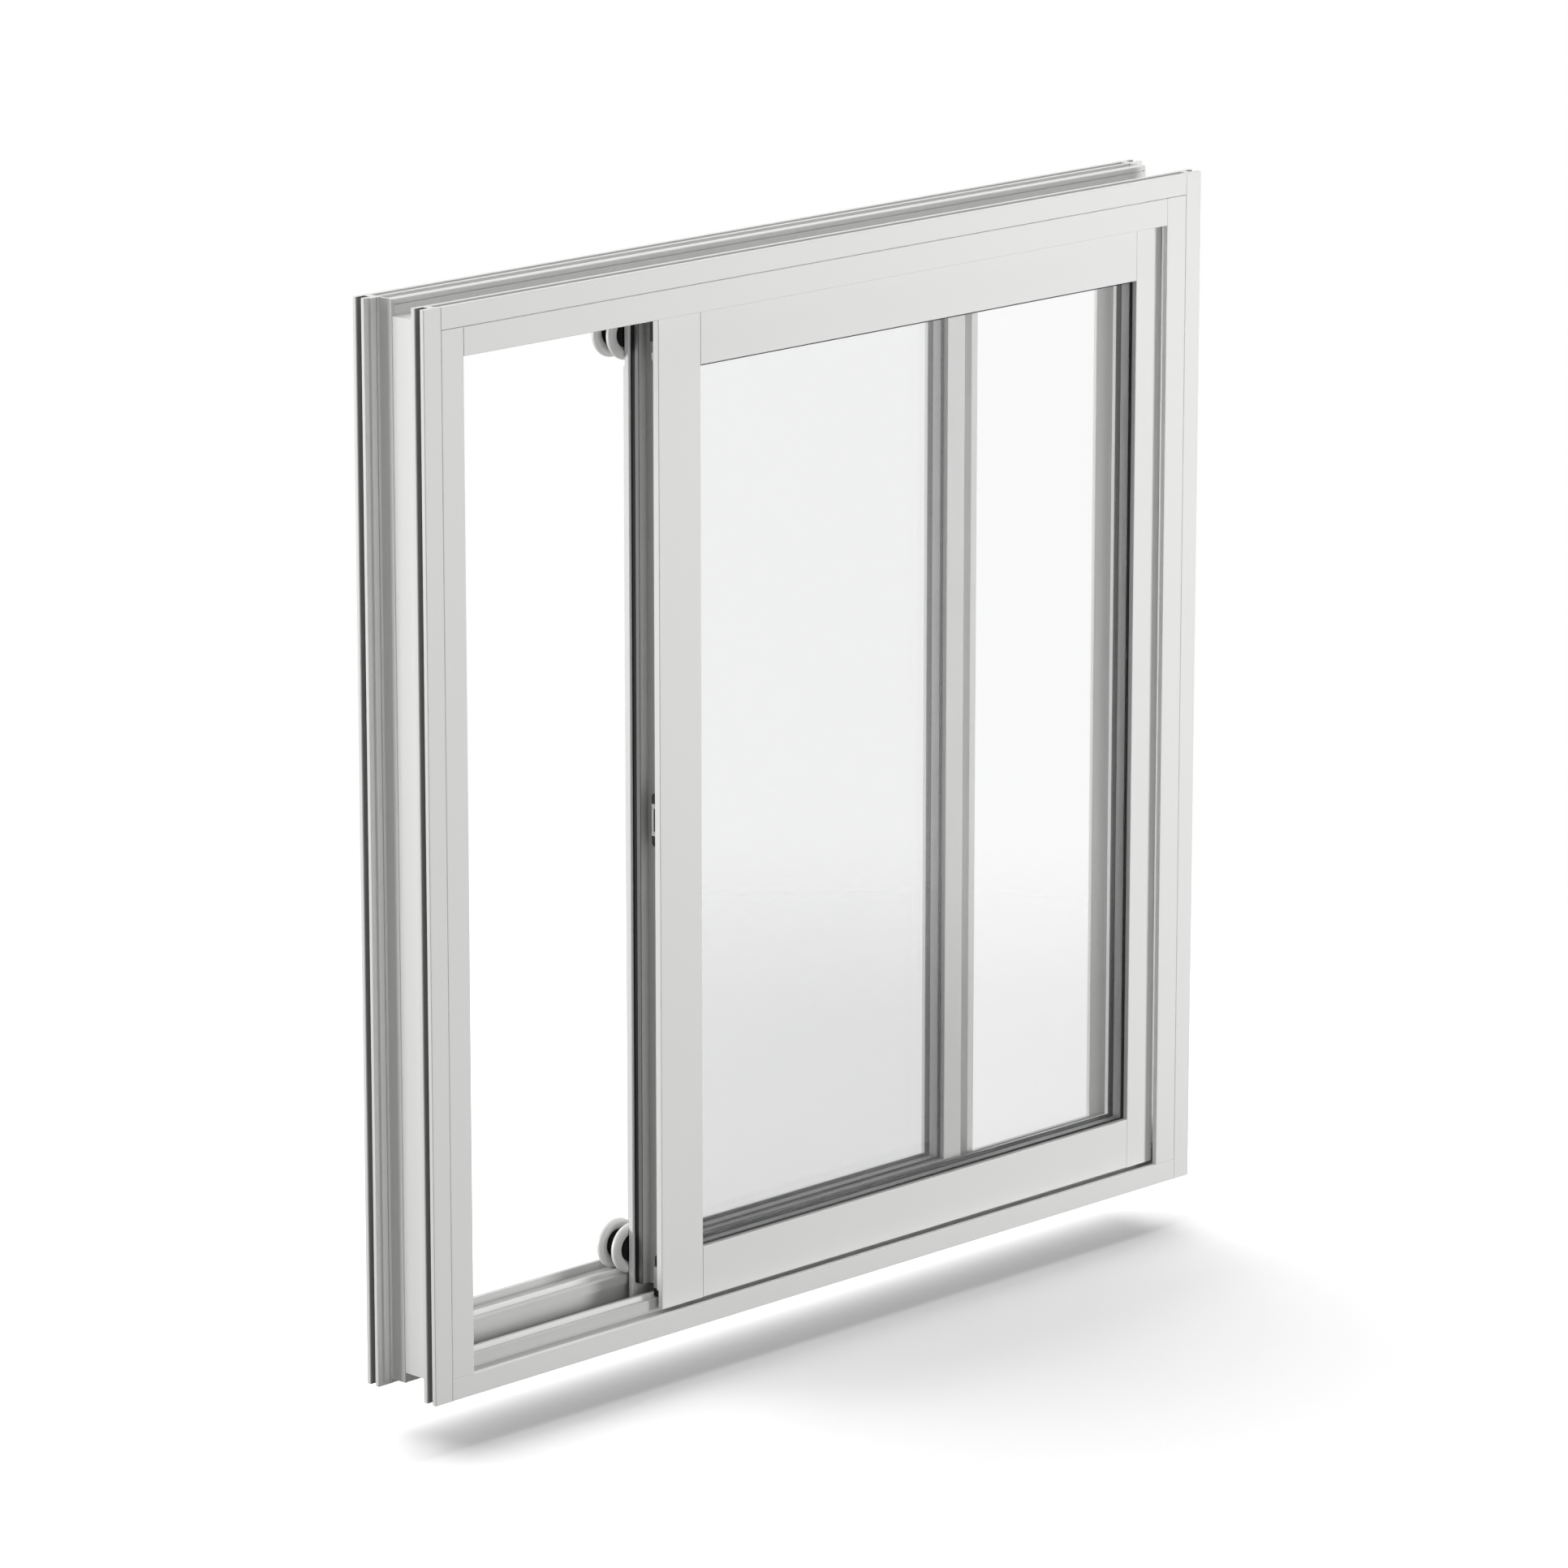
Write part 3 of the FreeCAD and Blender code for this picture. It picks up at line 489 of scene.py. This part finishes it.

# groove: the front and the back groove in the outer side of the jambs, painted darker as shade
groove = {"side": (0.8, 10.4), "front": (4.8, 11.7), "back": (81.3, 88.2)}
for node, flipped in (("left_jamb", ()), ("right_jamb", (0,))):
    nodes[node].data.materials[0] = shadedChannelMaterial(camel(node) + "Coat", [
        (depthBox(node, (groove["side"], groove[place], None), flipped), groovePaintedShade)
        for place in ("front", "back")
    ])
print("finishes given to every node")


# Pieces

# Make a piece from a grid of points (rows, columns, 3), closed both ways, that rides on its
# body. The step along the columns crossed with the step along the rows points outwards.
def closedGrid(name, points, material, body, smooth=True):
    rows, columns = points.shape[:2]
    row = np.arange(rows)[:, None]
    column = np.arange(columns)[None, :]
    nextRow = (row + 1) % rows
    nextColumn = (column + 1) % columns
    faces = np.stack([
        row * columns + column,
        row * columns + nextColumn,
        nextRow * columns + nextColumn,
        nextRow * columns + column,
    ], axis=-1).reshape(-1, 4)
    mesh = bpy.data.meshes.new(name)
    mesh.from_pydata(points.reshape(-1, 3).tolist(), [], faces.tolist())
    if smooth:
        mesh.shade_smooth()
    else:
        mesh.shade_flat()
    mesh.materials.append(material)
    piece = bpy.data.objects.new(name, mesh)
    bpy.context.scene.collection.objects.link(piece)
    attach(piece, body)
    return piece


# A power that keeps the sign of its base
def signedPower(base, power):
    return np.sign(base) * np.abs(base) ** power


# tyre: the outline's own sizes, in millimetres, and how many points it has round the axle
# and along the outline; its outer radius and place come from the node. The dish fades
# towards the tread by its own power.
tyre = {"bore": 13.2, "dish": 1.2, "width": 8.5, "turns": 160, "outline": 56, "squareness": 2.2,
        "dishPower": 1.5}


# A tyre is a superellipse turned about the axle: its cosine and sine are raised to 2 over the
# squareness. The half width loses the dish times a power of the way from tread to bore.
def makeTyres(body):
    node = body + "_wheels"
    low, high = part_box(node)
    centreX = (low[0] + high[0]) / 2
    centreZ = (low[2] + high[2]) / 2
    outer = (high[2] - low[2]) / 2
    bore = tyre["bore"] * millimetre
    half = tyre["width"] * millimetre / 2
    around = np.linspace(0, 2 * np.pi, tyre["outline"], endpoint=False)
    cosine = signedPower(np.cos(around), 2 / tyre["squareness"])
    sine = signedPower(np.sin(around), 2 / tyre["squareness"])
    radius = (outer + bore) / 2 + (outer - bore) / 2 * cosine
    outward = np.clip((radius - bore) / (outer - bore), 0, 1)
    width = half - tyre["dish"] * millimetre * (1 - outward) ** tyre["dishPower"]
    turn = np.linspace(0, 2 * np.pi, tyre["turns"], endpoint=False)[:, None]
    for side, middle in (("Front", low[1] + half), ("Back", high[1] - half)):
        x = centreX + radius * np.cos(turn)
        y = middle + width * sine + 0 * turn
        z = centreZ + radius * np.sin(turn)
        piece = closedGrid(camel(body) + side + "Tyre", np.stack([x, y, z], axis=-1),
                           finishes["roller_nylon"], body)
        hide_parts(node)


for body in ("low_roller", "high_roller"):
    makeTyres(body)
print("tyres ready")


# gasket: a rounded bead against the glass, in millimetres. Its root goes out from the
# opening's edge, and the edge lies inside the node's box; it shows more at the top. Its
# outline has as many points as bead says, and three powers shape its sides, nose and heel.
gasket = {"edge": 6.5, "root": 6.3, "show": 1.2, "top": 2.4, "bead": 40,
          "sidePower": 0.5, "nosePower": 0.7, "heelPower": 0.2}


# The outline is a squared circle: depth by a power of the sine, and inset by a power of the
# cosine, from the nose inwards to the heel outwards. At each corner two runs meet in a mitre.
def makeGasket(sash, side):
    node = sash + "_" + side + "_gasket"
    low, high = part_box(node)
    root = gasket["root"] * millimetre
    show = gasket["show"] * millimetre
    edge = gasket["edge"] * millimetre
    around = np.linspace(0, 2 * np.pi, gasket["bead"], endpoint=False)
    cosine = np.abs(np.cos(around))
    nose = show * cosine ** gasket["nosePower"]
    heel = root * cosine ** gasket["heelPower"]
    inset = np.where(np.cos(around) > 0, nose, -heel)
    head = inset * np.where(inset > 0, gasket["top"] / gasket["show"], 1)
    depth = (high[1] - low[1]) / 2
    y = (high[1] + low[1]) / 2 + depth * signedPower(np.sin(around), gasket["sidePower"])
    x0, x1 = low[0] + edge, high[0] - edge
    z0, z1 = low[2] + edge, high[2] - edge
    x = np.stack([x0 + inset, x1 - inset, x1 - inset, x0 + inset], axis=-1)
    z = np.stack([z0 + inset, z0 + inset, z1 - head, z1 - head], axis=-1)
    points = np.stack([x, np.repeat(y[:, None], 4, axis=1), z], axis=-1)
    piece = closedGrid(camel(node) + "Bead", points,
                       finishes["gasket_rubber"], sash + "_sash")
    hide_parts(node)


for sash in ("front", "back"):
    for side in ("near", "far"):
        makeGasket(sash, side)
print("gaskets ready")


# latch: its two black ends stand a little proud of the slotted plate, in millimetres, with
# as many points on the half circle as arc says. The rim and the middle are the shares of
# the outline's size at the face and where it closes.
latch = {"cap": 10.0, "proud": 0.3, "width": 7.0, "bevel": 0.4, "arc": 24, "rim": 0.93, "middle": 0.02}


# An end is a rounded bar along X; its outline is a square that turns into a half circle at
# the outer end, and the first and last rows close it towards its middle
def makeLatchEnds():
    caseLow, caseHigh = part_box("latch_case")
    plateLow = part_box("latch_plate")[0]
    half = latch["width"] * millimetre / 2
    length = latch["cap"] * millimetre
    centreY = (caseLow[1] + caseHigh[1]) / 2
    angle = np.linspace(0, np.pi, latch["arc"])
    across = np.concatenate([half * np.cos(angle), [-half, half]])
    upward = np.concatenate([half * np.sin(angle) + length - half, [0.0, 0.0]]) - length / 2
    front = min(plateLow[0], caseLow[0]) - latch["proud"] * millimetre
    bevel = front + latch["bevel"] * millimetre
    depth = np.array([front, front, bevel, caseHigh[0], caseHigh[0]])[:, None]
    size = np.array([latch["middle"], latch["rim"], 1.0, 1.0, latch["middle"]])[:, None]
    ends = (("latchUpperEnd", caseHigh[2] - length, 1), ("latchLowerEnd", caseLow[2] + length, -1))
    for name, foot, sign in ends:
        x = depth + 0 * across
        y = centreY + across * size
        z = foot + sign * (length / 2 + upward * size)
        points = np.stack([x, y, z], axis=-1)
        if sign < 0:
            points = points[:, ::-1]
        closedGrid(name, points, finishes["black_plastic"], "front_sash", smooth=False)


makeLatchEnds()
print("latch ends ready")


# View transform
bpy.context.scene.view_settings.view_transform = "Standard"
